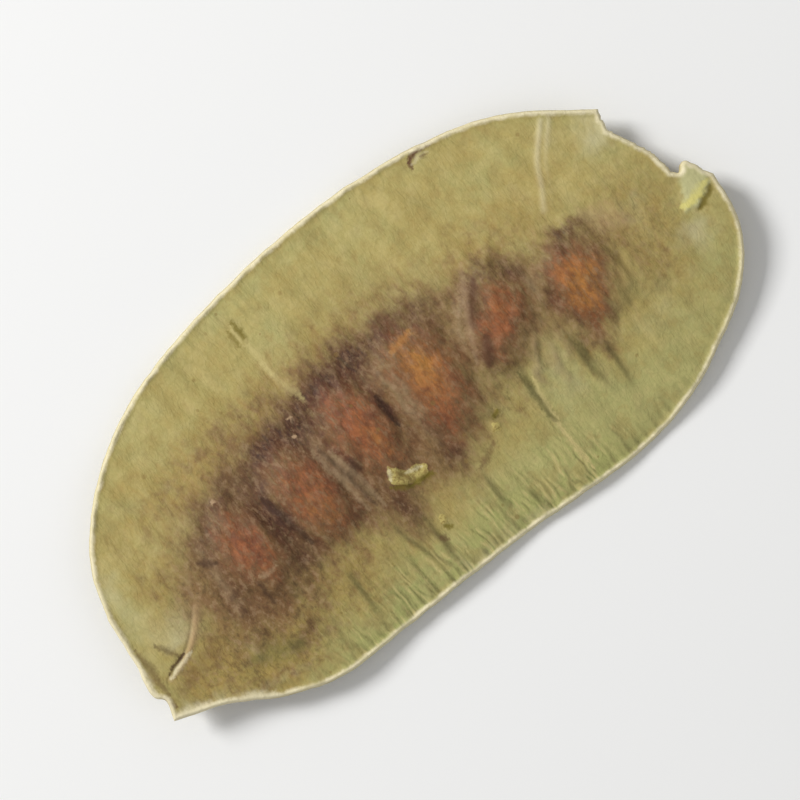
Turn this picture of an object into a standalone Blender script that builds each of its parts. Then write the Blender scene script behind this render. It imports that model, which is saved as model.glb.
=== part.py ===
"""A dried senna pod lying on a table: one flat, kidney-shaped pod that grew as a single piece.

Its two papery valves meet in a raised suture all round the edge, and swell over a row of six seeds.
Lengths are in millimetres in the pod's own frame, and are turned into metres when the mesh is made.
+X runs along the pod from its stalk end, +Y towards its fuller long edge, +Z up from the table.
"""

import math
from collections import namedtuple

import bpy
import numpy as np
from mathutils.geometry import delaunay_2d_cdt

METRES_PER_MM = 0.001

# The outline, in runs that each end at a corner. They go round the pod against the clock, seen from above.
HOLLOW_EDGE = [
    (-20.8, -4.4), (-18.0, -5.8), (-15.5, -7.6), (-12.6, -8.9), (-9.3, -9.3), (-4.8, -9.65), (0.0, -10.1),
    (3.8, -10.65), (7.8, -11.1), (11.6, -10.8), (14.8, -9.7), (17.5, -8.4), (19.4, -6.6), (20.4, -4.6),
    (20.75, -2.6),
]
WORN_TIP = [(20.75, -2.6), (20.1, -1.0), (19.45, -1.3), (19.1, 0.6), (18.3, 3.1), (18.6, 4.2)]
FULL_EDGE = [
    (18.6, 4.2), (14.3, 7.8), (10.0, 9.6), (5.0, 10.7), (0.0, 11.05), (-5.0, 10.95), (-9.3, 10.4),
    (-13.0, 9.2), (-16.2, 7.2), (-18.5, 4.8), (-19.8, 2.0),
]
STALK_END = [(-19.8, 2.0), (-20.2, -0.4), (-20.75, -2.75), (-20.4, -3.3), (-20.8, -4.4)]

# Half thicknesses: each is measured from the middle surface, and holds for both faces.
WEB_HALF = 0.31
RIM_HALF = 0.37
RIM_MIDDLE = 0.34
RIM_SPREAD = 0.3
EDGE_ROUNDING = 0.3
EDGE_SHARE = 0.45
CHAMBER_SWELL = 0.3
SEED_SWELL = 0.45

# The seeds lie across the pod in one row. Their lean is in radians, with the upper end towards +X.
Seed = namedtuple("Seed", "x y half_width half_length lean")
SEEDS = [
    Seed(-11.4, -0.5, 2.3, 3.8, 0.05),
    Seed(-7.1, -0.3, 2.3, 4.0, 0.08),
    Seed(-2.7, 0.1, 2.4, 4.2, 0.06),
    Seed(2.0, -0.3, 2.6, 4.3, 0.0),
    Seed(6.9, -0.3, 2.4, 4.1, 0.6),
    Seed(12.0, -1.9, 2.7, 3.7, 0.15),
]
CHAMBER_HALF_WIDTH = 7.2

# How the dried pod has warped: its ends curl up, its long edges droop to the table, and it twists a little.
HALF_LENGTH = 20.8
HALF_WIDTH = 11.1
LIFT = 0.94
END_CURL = 1.0
EDGE_DROOP = 0.68
TWIST = 0.3
RIPPLE = 0.12
RIPPLE_LENGTH = 8.5
RIPPLE_PHASE = 2.0

# Low ribs cross the papery margin from the suture to the seeds, at a pitch that wanders.
RIB_HEIGHT = 0.06
RIB_PITCH = 2.6
RIB_SLANT = 0.12
RIB_WANDER = 1.4
RIB_WANDER_RATE = 0.37

# Mesh: points along the edge, rings just inside it, and an even lattice further in.
EDGE_STEP = 0.62
RING_DEPTHS = (0.13, 0.36, 0.78)
LATTICE_STEP = 0.74
LATTICE_CLEAR = 1.15
CURVE_STEPS = 40
SHARPEST_MITRE = 0.5
RING_SLACK = 0.93
WELD = 1e-5

POD_COLOUR = (0.36, 0.30, 0.12, 1.0)
POD_ROUGHNESS = 0.6


def clear_scene():
    for old in list(bpy.data.objects):
        bpy.data.objects.remove(old)


def curve_through(knots, step):
    """Points about step apart on a smooth curve through the knots, without the last one."""
    knots = np.array(knots, float)
    padded = np.vstack([2 * knots[0] - knots[1], knots, 2 * knots[-1] - knots[-2]])
    fine = []
    for a, b, c, d in zip(padded, padded[1:], padded[2:], padded[3:]):
        gaps = [math.sqrt(np.linalg.norm(q - p)) for p, q in ((a, b), (b, c), (c, d))]
        t0, t1, t2, t3 = np.cumsum([0.0, *gaps])
        t = np.linspace(t1, t2, CURVE_STEPS, endpoint=False)[:, None]
        ab = ((t1 - t) * a + (t - t0) * b) / (t1 - t0)
        bc = ((t2 - t) * b + (t - t1) * c) / (t2 - t1)
        cd = ((t3 - t) * c + (t - t2) * d) / (t3 - t2)
        abc = ((t2 - t) * ab + (t - t0) * bc) / (t2 - t0)
        bcd = ((t3 - t) * bc + (t - t1) * cd) / (t3 - t1)
        fine.append(((t2 - t) * abc + (t - t1) * bcd) / (t2 - t1))
    fine = np.vstack([*fine, knots[-1:]])
    along = np.concatenate([[0.0], np.cumsum(np.linalg.norm(np.diff(fine, axis=0), axis=1))])
    count = max(1, round(along[-1] / step))
    even = np.linspace(0.0, along[-1], count, endpoint=False)
    return np.column_stack([np.interp(even, along, fine[:, axis]) for axis in (0, 1)])


def make_outline(step):
    """The closed outline, with its bounding box centred on the origin."""
    runs = [curve_through(run, step) for run in (HOLLOW_EDGE, WORN_TIP, FULL_EDGE, STALK_END)]
    outline = np.vstack(runs)
    return outline - (outline.min(axis=0) + outline.max(axis=0)) / 2


def distance_to(points, path, closed):
    """How far each point lies from a path of straight runs."""
    start = path if closed else path[:-1]
    side = np.roll(path, -1, axis=0)[:len(start)] - start
    offset = points[:, None, :] - start[None]
    share = np.clip((offset * side).sum(axis=2) / (side * side).sum(axis=1), 0.0, 1.0)
    return np.linalg.norm(offset - share[..., None] * side, axis=2).min(axis=1)


def depth_inside(points, outline):
    """How far each point lies in from the outline."""
    return distance_to(points, outline, closed=True)


def is_inside(points, outline):
    """Whether each point lies within the outline, by counting the edges to its right."""
    x, y = points[:, :1], points[:, 1:]
    x0, y0 = outline.T
    x1, y1 = np.roll(outline, -1, axis=0).T
    spans = (y0 > y) != (y1 > y)
    crossing = x0 + (y - y0) * (x1 - x0) / np.where(y1 == y0, 1.0, y1 - y0)
    return (spans & (crossing > x)).sum(axis=1) % 2 == 1


def ring_inside(outline, depth):
    """The outline moved in by depth. Points that a corner swallows are dropped."""
    after = np.roll(outline, -1, axis=0) - outline
    after /= np.linalg.norm(after, axis=1)[:, None]
    before = np.roll(after, 1, axis=0)
    normal = np.column_stack([-(after + before)[:, 1], (after + before)[:, 0]])
    normal /= np.linalg.norm(normal, axis=1)[:, None]
    mitre = (normal * np.column_stack([-after[:, 1], after[:, 0]])).sum(axis=1)
    ring = outline + normal * (depth / np.maximum(mitre, SHARPEST_MITRE))[:, None]
    kept = is_inside(ring, outline) & (depth_inside(ring, outline) > RING_SLACK * depth)
    return ring[kept]


def lattice_inside(outline, step, clear):
    """An even lattice of points, at least clear away from the outline."""
    rows = np.arange(-HALF_WIDTH, HALF_WIDTH, step * math.sqrt(3) / 2)
    columns = np.arange(-HALF_LENGTH, HALF_LENGTH, step)
    points = np.array([(x + (i % 2) * step / 2, y) for i, y in enumerate(rows) for x in columns])
    points = points[is_inside(points, outline)]
    return points[depth_inside(points, outline) > clear]


def flat_triangles(outline):
    """The pod's flat pattern: points, triangles among them, and how many points make the edge."""
    points = [outline]
    points += [ring_inside(outline, depth) for depth in RING_DEPTHS]
    points.append(lattice_inside(outline, LATTICE_STEP, LATTICE_CLEAR))
    points = np.vstack(points)
    edge = list(range(len(outline)))
    made, _, faces, *_ = delaunay_2d_cdt([tuple(p) for p in points], [], [edge], 1, WELD)
    if len(made) != len(points):
        raise ValueError("the flat pattern lost or gained points")
    return points, [tuple(face) for face in faces], len(outline)


def smooth_step(t):
    """An even rise from 0 to 1 that is level at both ends."""
    t = np.clip(t, 0.0, 1.0)
    return t * t * (3.0 - 2.0 * t)


def seed_swell(points):
    """1 over the middle of a seed, 0 beyond its outline."""
    swell = np.zeros(len(points))
    for seed in SEEDS:
        x, y = points[:, 0] - seed.x, points[:, 1] - seed.y
        along = y * math.cos(seed.lean) + x * math.sin(seed.lean)
        across = x * math.cos(seed.lean) - y * math.sin(seed.lean)
        reach = (across / seed.half_width) ** 2 + (along / seed.half_length) ** 2
        swell = np.maximum(swell, smooth_step(1.0 - reach))
    return swell


def chamber_swell(points):
    """1 along the seed row, falling to 0 where the two valves meet."""
    row = np.array([(seed.x, seed.y) for seed in SEEDS])
    return smooth_step(1.0 - distance_to(points, row, closed=False) / CHAMBER_HALF_WIDTH)


def half_thickness(points, depth):
    """Half the pod's thickness: a thin web, a rounded suture at the edge, and the swell over the seeds."""
    rim = np.exp(-(((depth - RIM_MIDDLE) / RIM_SPREAD) ** 2))
    half = WEB_HALF + (RIM_HALF - WEB_HALF) * rim
    half = half + CHAMBER_SWELL * chamber_swell(points) + SEED_SWELL * seed_swell(points)
    edge = np.clip(depth / EDGE_ROUNDING, 0.0, 1.0)
    return half * np.maximum(np.sqrt(1.0 - (1.0 - edge) ** 2), EDGE_SHARE)


def middle_height(points, depth):
    """Height of the middle surface above the table: the warp, the ripple of the margins and the low ribs."""
    x, y = points.T
    along, across = x / HALF_LENGTH, y / HALF_WIDTH
    warp = LIFT + END_CURL * along**2 - EDGE_DROOP * across**2 + TWIST * along * across
    ripple = RIPPLE * across**2 * np.sin(2 * math.pi * x / RIPPLE_LENGTH + RIPPLE_PHASE * np.sign(y))
    phase = 2 * math.pi * (x + RIB_SLANT * y) / RIB_PITCH
    margin = smooth_step(depth / RIM_MIDDLE - 1.0) * (1.0 - chamber_swell(points))
    ribs = RIB_HEIGHT * margin * np.sin(phase + RIB_WANDER * np.sin(RIB_WANDER_RATE * phase))
    return warp + ripple + ribs


def make_pod():
    """Both faces of the flat pattern, parted by the thickness and joined by a narrow wall at the edge."""
    outline = make_outline(EDGE_STEP)
    points, triangles, edge_count = flat_triangles(outline)
    depth = depth_inside(points, outline)
    depth[:edge_count] = 0.0
    middle = middle_height(points, depth)
    half = half_thickness(points, depth)
    upper = np.column_stack([points, middle + half])
    lower = np.column_stack([points, np.maximum(middle - half, 0.0)])
    below = len(points)
    faces = list(triangles)
    faces += [(a + below, c + below, b + below) for a, b, c in triangles]
    for a in range(edge_count):
        b = (a + 1) % edge_count
        faces += [(a, a + below, b + below), (a, b + below, b)]
    mesh = bpy.data.meshes.new("pod")
    mesh.from_pydata((np.vstack([upper, lower]) * METRES_PER_MM).tolist(), [], faces)
    mesh.shade_smooth()
    mesh.materials.append(dry_husk())
    pod = bpy.data.objects.new("pod", mesh)
    bpy.context.scene.collection.objects.link(pod)
    return pod


def dry_husk():
    """The dry skin: green-tan and slightly rough."""
    material = bpy.data.materials.new("dry_husk")
    material.use_nodes = True
    shader = material.node_tree.nodes["Principled BSDF"]
    shader.inputs["Base Color"].default_value = POD_COLOUR
    shader.inputs["Roughness"].default_value = POD_ROUGHNESS
    shader.inputs["Metallic"].default_value = 0.0
    material.diffuse_color = POD_COLOUR
    return material


clear_scene()
make_pod()
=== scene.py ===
# %% [markdown]
# # A dried senna pod
# A senna pod is a flat seed pod about as long as a thumb. Two papery halves, the valves, meet in a raised
# seam all round its edge, and a row of seeds lies shut between them. The seeds show only as low bumps and as
# rusty stains through the skin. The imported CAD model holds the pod's size, warp and bumps. These cells build
# the skin that the camera sees, in the same place and with the same formulas, but much finer.

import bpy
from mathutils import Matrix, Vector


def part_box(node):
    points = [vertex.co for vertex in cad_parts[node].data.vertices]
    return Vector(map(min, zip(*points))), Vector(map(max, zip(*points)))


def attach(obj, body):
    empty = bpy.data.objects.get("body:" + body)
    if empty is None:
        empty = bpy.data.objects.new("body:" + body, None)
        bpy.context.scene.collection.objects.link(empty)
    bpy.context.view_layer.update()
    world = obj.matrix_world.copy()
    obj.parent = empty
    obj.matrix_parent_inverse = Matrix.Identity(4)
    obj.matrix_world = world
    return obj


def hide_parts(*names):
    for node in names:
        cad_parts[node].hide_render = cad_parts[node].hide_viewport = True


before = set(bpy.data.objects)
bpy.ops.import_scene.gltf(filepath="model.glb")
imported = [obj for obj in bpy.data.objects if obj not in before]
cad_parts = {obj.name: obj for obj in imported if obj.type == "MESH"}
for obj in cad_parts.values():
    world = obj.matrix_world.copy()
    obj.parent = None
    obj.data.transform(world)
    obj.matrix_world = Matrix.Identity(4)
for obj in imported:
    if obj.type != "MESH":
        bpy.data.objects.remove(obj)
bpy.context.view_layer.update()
print("CAD nodes:", sorted(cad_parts))

# %% [markdown]
# ## The camera
# The photographer stood over the pods, so the camera looks straight down. The pod's long side ran up to the
# right in the picture, and turning the camera about its own line of sight gives that lean without moving the
# pod. A long lens from further off keeps the thin edges from spreading, as they would near a wide lens.

# %% The camera, straight above the pod
import math

import bpy
import numpy as np
from mathutils import Vector, noise
from mathutils.geometry import delaunay_2d_cdt
from mathutils.kdtree import KDTree

MM = 0.001
LEAN_DEGREES = 43.0
LENS_MM = 100.0
SENSOR_MM = 36.0
VIEW_WIDTH_MM = 44.0

scene = bpy.context.scene
camera_data = bpy.data.cameras.new("overhead_camera")
camera_data.lens = LENS_MM
camera_data.sensor_width = SENSOR_MM
camera = bpy.data.objects.new("overhead_camera", camera_data)
scene.collection.objects.link(camera)
camera_height = VIEW_WIDTH_MM * LENS_MM / SENSOR_MM * MM
camera.location = (0.0, 0.0, camera_height)
camera.rotation_euler = (0.0, 0.0, -math.radians(LEAN_DEGREES))
camera_data.clip_start = camera_height * 0.1
camera_data.clip_end = camera_height * 100
scene.camera = camera
print("the camera is", round(camera_height * 1000), "mm above the table")

# %% [markdown]
# ## The outline
# The pod is kidney-shaped: one long edge is full and the other is faintly hollow. At the stalk end it is
# split off straight, and at the tip a corner is worn away. A drawing program would trace it as a path. Here
# it is four runs of knots with a corner where two runs meet, and a smooth curve goes through each run.

# %% Knots of the outline, in millimetres
HOLLOW_EDGE = [
    (-20.8, -4.4), (-18.0, -5.8), (-15.5, -7.6), (-12.6, -8.9), (-9.3, -9.3), (-4.8, -9.65), (0.0, -10.1),
    (3.8, -10.65), (7.8, -11.1), (11.6, -10.8), (14.8, -9.7), (17.5, -8.4), (19.4, -6.6), (20.4, -4.6),
    (20.75, -2.6),
]
WORN_TIP = [(20.75, -2.6), (20.1, -1.0), (19.45, -1.3), (19.1, 0.6), (18.3, 3.1), (18.6, 4.2)]
FULL_EDGE = [
    (18.6, 4.2), (14.3, 7.8), (10.0, 9.6), (5.0, 10.7), (0.0, 11.05), (-5.0, 10.95), (-9.3, 10.4),
    (-13.0, 9.2), (-16.2, 7.2), (-18.5, 4.8), (-19.8, 2.0),
]
STALK_END = [(-19.8, 2.0), (-20.2, -0.4), (-20.75, -2.75), (-20.4, -3.3), (-20.8, -4.4)]
CURVE_STEPS = 40


def smooth_curve(knots):
    """A fine smooth curve through the knots, tightening where they are close together."""
    knots = np.array(knots, float)
    padded = np.vstack([2 * knots[0] - knots[1], knots, 2 * knots[-1] - knots[-2]])
    fine = []
    for a, b, c, d in zip(padded, padded[1:], padded[2:], padded[3:]):
        gaps = [math.sqrt(np.linalg.norm(q - p)) for p, q in ((a, b), (b, c), (c, d))]
        t0, t1, t2, t3 = np.cumsum([0.0, *gaps])
        t = np.linspace(t1, t2, CURVE_STEPS, endpoint=False)[:, None]
        ab = ((t1 - t) * a + (t - t0) * b) / (t1 - t0)
        bc = ((t2 - t) * b + (t - t1) * c) / (t2 - t1)
        cd = ((t3 - t) * c + (t - t2) * d) / (t3 - t2)
        abc = ((t2 - t) * ab + (t - t0) * bc) / (t2 - t0)
        bcd = ((t3 - t) * bc + (t - t1) * cd) / (t3 - t1)
        fine.append(((t2 - t) * abc + (t - t1) * bcd) / (t2 - t1))
    return np.vstack([*fine, knots[-1:]])


def even_points(path, step):
    """Points about step apart along a path, with both of its ends."""
    along = np.concatenate([[0.0], np.cumsum(np.linalg.norm(np.diff(path, axis=0), axis=1))])
    even = np.linspace(0.0, along[-1], max(2, round(along[-1] / step) + 1))
    return np.column_stack([np.interp(even, along, path[:, axis]) for axis in (0, 1)])


# %% [markdown]
# ## The edge up close
# A dry edge is never a clean cut. It is nibbled by a few hundredths of a millimetre, and more so at the worn
# tip. Smooth noise moves the outline in by that much, and the result is scaled back into the CAD box, so that
# the fine skin is nowhere larger than the solid it stands for.

# %% The fine outline
EDGE_STEP = 0.13
NIBBLE = 0.035
NIBBLE_PITCH = 0.9
WAVE = 0.09
WAVE_PITCH = 2.4
RAGGED = 0.17
RAGGED_PITCH = 0.4


def noise_at(points, pitch_x, pitch_y, seed, octaves=3):
    """Smooth noise from about -1 to 1 at each point. The pitches are the sizes of its blobs in millimetres."""
    return np.array([
        noise.fractal((x / pitch_x, y / pitch_y, seed), 1.0, 2.0, octaves)
        for x, y in points
    ])


def make_outline(step):
    """The closed fine outline, nibbled and fitted to the CAD box."""
    runs = []
    for run in (HOLLOW_EDGE, WORN_TIP, FULL_EDGE, STALK_END):
        points = even_points(smooth_curve(run), step)[:-1]
        rag = RAGGED if run is WORN_TIP else 0.0
        inward = -points / np.linalg.norm(points, axis=1)[:, None]
        nibble = NIBBLE * np.abs(noise_at(points, NIBBLE_PITCH, NIBBLE_PITCH, 3.3))
        nibble += rag * np.abs(noise_at(points, RAGGED_PITCH, RAGGED_PITCH, 8.1))
        nibble += WAVE * np.abs(noise_at(points, WAVE_PITCH, WAVE_PITCH, 5.7))
        runs.append(points + inward * nibble[:, None])
    outline = np.vstack(runs)
    low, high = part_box("pod")
    size = np.array([high.x - low.x, high.y - low.y]) / MM
    outline -= (outline.min(axis=0) + outline.max(axis=0)) / 2
    return outline * size / (outline.max(axis=0) - outline.min(axis=0))


outline = make_outline(EDGE_STEP)
print(len(outline), "points round the edge, over", np.ptp(outline, axis=0).round(2), "mm")

# %% [markdown]
# ## A flat pattern
# The two faces of the pod are one flat pattern, once lifted and once lowered. A grid of squares would leave
# steps along the curved edge. So rings of points follow the edge, an even lattice fills the middle, and a
# Delaunay triangulation joins them all into triangles that are nearly equal-sided. The crack and the chip at
# the tip get extra points, because their edges are sharper than the rest.

# %% Points of the flat pattern
RING_DEPTHS = (0.03, 0.08, 0.15, 0.24, 0.35)
LATTICE_STEP = 0.146
LATTICE_CLEAR = 0.45
SHARPEST_MITRE = 0.5
RING_SLACK = 0.9
CHUNK = 3000
WELD = 1e-6

outline_trace = even_points(np.vstack([outline, outline[:1]]), 0.02)


def nearest(points, samples):
    """How far each point is from its nearest sample, and which sample that is."""
    tree = KDTree(len(samples))
    for i, (x, y) in enumerate(samples):
        tree.insert((x, y, 0.0), i)
    tree.balance()
    found = [tree.find((x, y, 0.0)) for x, y in points]
    return np.array([hit[2] for hit in found]), np.array([hit[1] for hit in found])


def is_inside(points):
    """Whether each point lies within the outline, by counting the edges to its right."""
    x0, y0 = outline.T
    x1, y1 = np.roll(outline, -1, axis=0).T
    rise = np.where(y1 == y0, 1.0, y1 - y0)
    inside = []
    for start in range(0, len(points), CHUNK):
        x, y = points[start:start + CHUNK, :1], points[start:start + CHUNK, 1:]
        spans = (y0 > y) != (y1 > y)
        inside.append((spans & (x0 + (y - y0) * (x1 - x0) / rise > x)).sum(axis=1) % 2 == 1)
    return np.concatenate(inside)


def ring_inside(depth):
    """The outline moved in by depth. Points that a corner swallows are dropped."""
    after = np.roll(outline, -1, axis=0) - outline
    after /= np.linalg.norm(after, axis=1)[:, None]
    before = np.roll(after, 1, axis=0)
    normal = np.column_stack([-(after + before)[:, 1], (after + before)[:, 0]])
    normal /= np.linalg.norm(normal, axis=1)[:, None]
    mitre = (normal * np.column_stack([-after[:, 1], after[:, 0]])).sum(axis=1)
    ring = outline + normal * (depth / np.maximum(mitre, SHARPEST_MITRE))[:, None]
    return ring[is_inside(ring) & (nearest(ring, outline_trace)[0] > RING_SLACK * depth)]


def lattice_inside(step, clear, low, high):
    """An even lattice of points in a box, at least clear away from the outline."""
    rows = np.arange(low[1], high[1], step * math.sqrt(3) / 2)
    columns = np.arange(low[0], high[0], step)
    points = np.array([(x + (i % 2) * step / 2, y) for i, y in enumerate(rows) for x in columns])
    points = points[is_inside(points)]
    return points[nearest(points, outline_trace)[0] > clear]


rings = [ring_inside(depth) for depth in RING_DEPTHS]
lattice = lattice_inside(LATTICE_STEP, LATTICE_CLEAR, outline.min(axis=0), outline.max(axis=0))
print([len(ring) for ring in rings], "ring points and", len(lattice), "lattice points")

# %% [markdown]
# ## Where the skin is broken
# Small damage makes this pod itself: a crack by the stalk end with a curled pale lip, a chip with a slit under
# it at the worn tip, a crease in the full wing, and flaked skin over the third seed. Each is a short list of places
# in millimetres: a path for the crack and for the crease, and the corners of a small patch for the others.
# The mesh and the colours below both use them, so relief and paint agree.

# %% Places of the damage, in millimetres
CRACK = [(-19.4, -2.7), (-18.6, -2.5), (-17.8, -2.25), (-17.0, -1.8), (-16.2, -1.15), (-15.4, -0.4)]
CREASE = [(15.9, 5.9), (15.0, 5.1), (14.2, 4.3), (13.5, 3.2), (12.7, 2.2)]
CHIP = [(18.3, -3.05), (19.0, -3.4), (20.4, -2.8), (20.5, -2.0), (19.95, -1.1), (19.2, -1.6)]
SLIT = [(18.9, -3.5), (19.4, -3.62), (20.2, -3.15), (20.3, -2.85), (19.3, -3.2)]
FLAKES = [
    [(-3.5, -2.95), (-2.9, -3.65), (-2.35, -3.3), (-2.55, -2.75), (-2.95, -2.15)],
    [(-2.95, -3.5), (-2.3, -4.0), (-1.6, -3.95), (-1.3, -3.6), (-1.65, -3.2), (-2.6, -2.95)],
    [(-2.95, -6.5), (-2.65, -6.65), (-2.5, -6.2), (-2.8, -6.0)],
    [(2.5, -4.75), (2.95, -4.95), (3.15, -4.55), (2.8, -4.35)],
    [(3.15, -4.2), (3.5, -4.25), (3.55, -3.95), (3.3, -3.95)],
]
FINE_STEP = 0.075
FINE_REACH = 0.55


def refine(points, near, reach, step):
    """Swaps the lattice points within reach of a path for a finer lattice."""
    low, high = near.min(axis=0) - reach, near.max(axis=0) + reach
    fine = lattice_inside(step, LATTICE_CLEAR, low, high)
    fine = fine[nearest(fine, near)[0] < reach]
    return np.vstack([points[nearest(points, near)[0] > reach + step], fine])


crack_trace = even_points(smooth_curve(CRACK), 0.02)
crease_trace = even_points(smooth_curve(CREASE), 0.02)
chip_middle = np.mean(CHIP, axis=0, keepdims=True)
lattice = refine(lattice, crack_trace, FINE_REACH, FINE_STEP)
lattice = refine(lattice, chip_middle, 1.5, FINE_STEP)
flat = np.vstack([outline, *rings, lattice])
made, _, triangles, *_ = delaunay_2d_cdt(
    [tuple(p) for p in flat], [], [list(range(len(outline)))], 1, WELD)
if len(made) != len(flat):
    raise ValueError("the flat pattern lost or gained points")
depth = nearest(flat, outline_trace)[0]
depth[:len(outline)] = 0.0
print(len(flat), "points and", len(triangles), "triangles on each face")

# %% [markdown]
# ## Thickness
# The margin is as thin as card, the seam at the edge is a rounded bead, and the valves swell over the seeds.
# Modelled by hand this would be a plate with proportional editing. A formula is better here, because the
# CAD solid has the same one, and both faces then stay in step with it. Only the margin is made thinner than
# in the solid, and the bead narrower, because a fine mesh can show how papery they are.

# %% Half the thickness at each point
WEB_HALF = 0.31
MARGIN_THIN = 0.11
RIM_HALF = 0.3
RIM_MIDDLE = 0.16
RIM_SPREAD = 0.13
GROOVE = 0.01
GROOVE_MIDDLE = 0.5
EDGE_ROUNDING = 0.2
EDGE_SHARE = 0.2
CHAMBER_SWELL = 0.3
SEED_SWELL = 0.45
CHAMBER_HALF_WIDTH = 7.2
SEED_UNEVEN = 0.45

# Each seed's middle, half width, half length, and lean in radians.
SEEDS = [
    (-11.4, -0.5, 2.3, 3.8, 0.05),
    (-7.1, -0.3, 2.3, 4.0, 0.08),
    (-2.7, 0.1, 2.4, 4.2, 0.06),
    (2.0, -0.3, 2.6, 4.3, 0.0),
    (6.9, -0.3, 2.4, 4.1, 0.6),
    (12.0, -1.9, 2.7, 3.7, 0.15),
]


def smooth_step(t):
    t = np.clip(t, 0.0, 1.0)
    return t * t * (3.0 - 2.0 * t)


def seed_frame(points, seed):
    """Each point as a share of the seed's half width across it and half length along it."""
    x, y, half_width, half_length, lean = seed
    dx, dy = points[:, 0] - x, points[:, 1] - y
    across = dx * math.cos(lean) - dy * math.sin(lean)
    along = dy * math.cos(lean) + dx * math.sin(lean)
    return across / half_width, along / half_length


def bump(distance, width):
    """1 at distance 0, falling smoothly away over width."""
    return np.exp(-((distance / width) ** 2))


row_trace = even_points(np.array([seed[:2] for seed in SEEDS]), 0.05)
seed_noise = noise_at(flat, 1.5, 2.2, 15.0)
chamber = smooth_step(1.0 - nearest(flat, row_trace)[0] / CHAMBER_HALF_WIDTH)
seed_swell = np.zeros(len(flat))
seed_line = np.zeros(len(flat))
seed_rim = np.zeros(len(flat))
for seed in SEEDS:
    across, along = seed_frame(flat, seed)
    reach = (across**2 + along**2) * (1.0 + SEED_UNEVEN * seed_noise)
    seed_swell = np.maximum(seed_swell, smooth_step(1.0 - reach))
    seed_line = np.maximum(seed_line, bump(across, 0.09) * smooth_step(1.1 - along**2))
    seed_rim = np.maximum(seed_rim, bump(np.sqrt(reach) - 0.8, 0.12))

web = WEB_HALF - MARGIN_THIN * (1.0 - chamber)
half = web + (RIM_HALF - web) * bump(depth - RIM_MIDDLE, RIM_SPREAD)
half -= GROOVE * bump(depth - GROOVE_MIDDLE, RIM_SPREAD)
half += CHAMBER_SWELL * chamber + SEED_SWELL * seed_swell
edge_share = np.clip(depth / EDGE_ROUNDING, 0.0, 1.0)
half *= np.maximum(np.sqrt(1.0 - (1.0 - edge_share) ** 2), EDGE_SHARE)
print("thickness from", round(2 * half.min(), 2), "to", round(2 * half.max(), 2), "mm")

# %% [markdown]
# ## The warp
# Paper that dries in the sun curls. The ends lift, the long edges droop until they touch the table, and the
# margins ripple a little. This is the middle surface of the CAD solid, point for point.

# %% Height of the middle surface
HALF_LENGTH = 20.8
HALF_WIDTH = 11.1
LIFT = 0.94
END_CURL = 1.0
EDGE_DROOP = 0.68
TWIST = 0.3
RIPPLE = 0.12
RIPPLE_LENGTH = 8.5
RIPPLE_PHASE = 2.0
RIB_HEIGHT = 0.06
RIB_PITCH = 2.6
RIB_SLANT = 0.12
RIB_WANDER = 1.4
RIB_WANDER_RATE = 0.37

x, y = flat.T
along, across = x / HALF_LENGTH, y / HALF_WIDTH
middle = LIFT + END_CURL * along**2 - EDGE_DROOP * across**2 + TWIST * along * across
middle += RIPPLE * across**2 * np.sin(2 * math.pi * x / RIPPLE_LENGTH + RIPPLE_PHASE * np.sign(y))
rib_phase = 2 * math.pi * (x + RIB_SLANT * y) / RIB_PITCH
margin = smooth_step(depth / RIM_MIDDLE - 1.0) * (1.0 - chamber)
middle += RIB_HEIGHT * margin * np.sin(rib_phase + RIB_WANDER * np.sin(RIB_WANDER_RATE * rib_phase))
print("the middle surface runs from", middle.min().round(2), "to", middle.max().round(2), "mm up")

# %% [markdown]
# ## Nerves
# Fine nerves cross each margin from the seam towards the seeds. Most stop after a millimetre, a few run on and
# fork. They could be painted, but raking light shows them as low ridges. So each one is grown as a wandering
# line, and every point of the skin rises by how near it is to the nearest line.

# %% Nerves grown from the seam
NERVE_STEP = 0.05
NERVE_PITCH = 0.6
NERVE_WANDER = 0.035
NERVE_WIDTH = 0.11
NERVE_KINDS = ((0.84, 0.6, 1.6), (0.1, 2.0, 4.0), (0.06, 4.0, 7.0))
FORK_SHARE = 0.55
FORK_ANGLE = 0.38
FULL_SIDE_STRENGTH = 0.25
END_STRENGTH = 0.2

# The longer dark nerves that stand out under the seeds, each from one place to another.
DARK_NERVES = [
    ((-8.5, -4.2), (-8.8, -8.2)), ((-5.0, -4.4), (-4.4, -8.2)), ((-3.55, -5.0), (-3.5, -9.2)),
    ((6.0, -2.8), (5.3, -7.2)), ((9.0, -2.8), (8.8, -7.4)), ((9.2, -3.4), (9.0, -6.4)),
    ((10.3, -4.8), (9.9, -8.4)), ((1.9, -8.0), (1.9, -9.9)), ((0.6, -5.4), (0.4, -8.6)),
]
DARK_WAVER = 0.16
DARK_NERVE_WIDTH = 0.16

draws = np.random.default_rng(11)


def grow_nerve(start, heading, length, strength):
    """Places along one wandering nerve, each with a strength that fades towards its end."""
    steps = max(3, int(length / NERVE_STEP))
    angles = heading + np.cumsum(draws.normal(0.0, NERVE_WANDER, steps))
    places = start + NERVE_STEP * np.cumsum(np.column_stack([np.cos(angles), np.sin(angles)]), axis=0)
    fade = strength * np.sqrt(1.0 - np.arange(steps) / steps)
    return places, fade, angles


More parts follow.
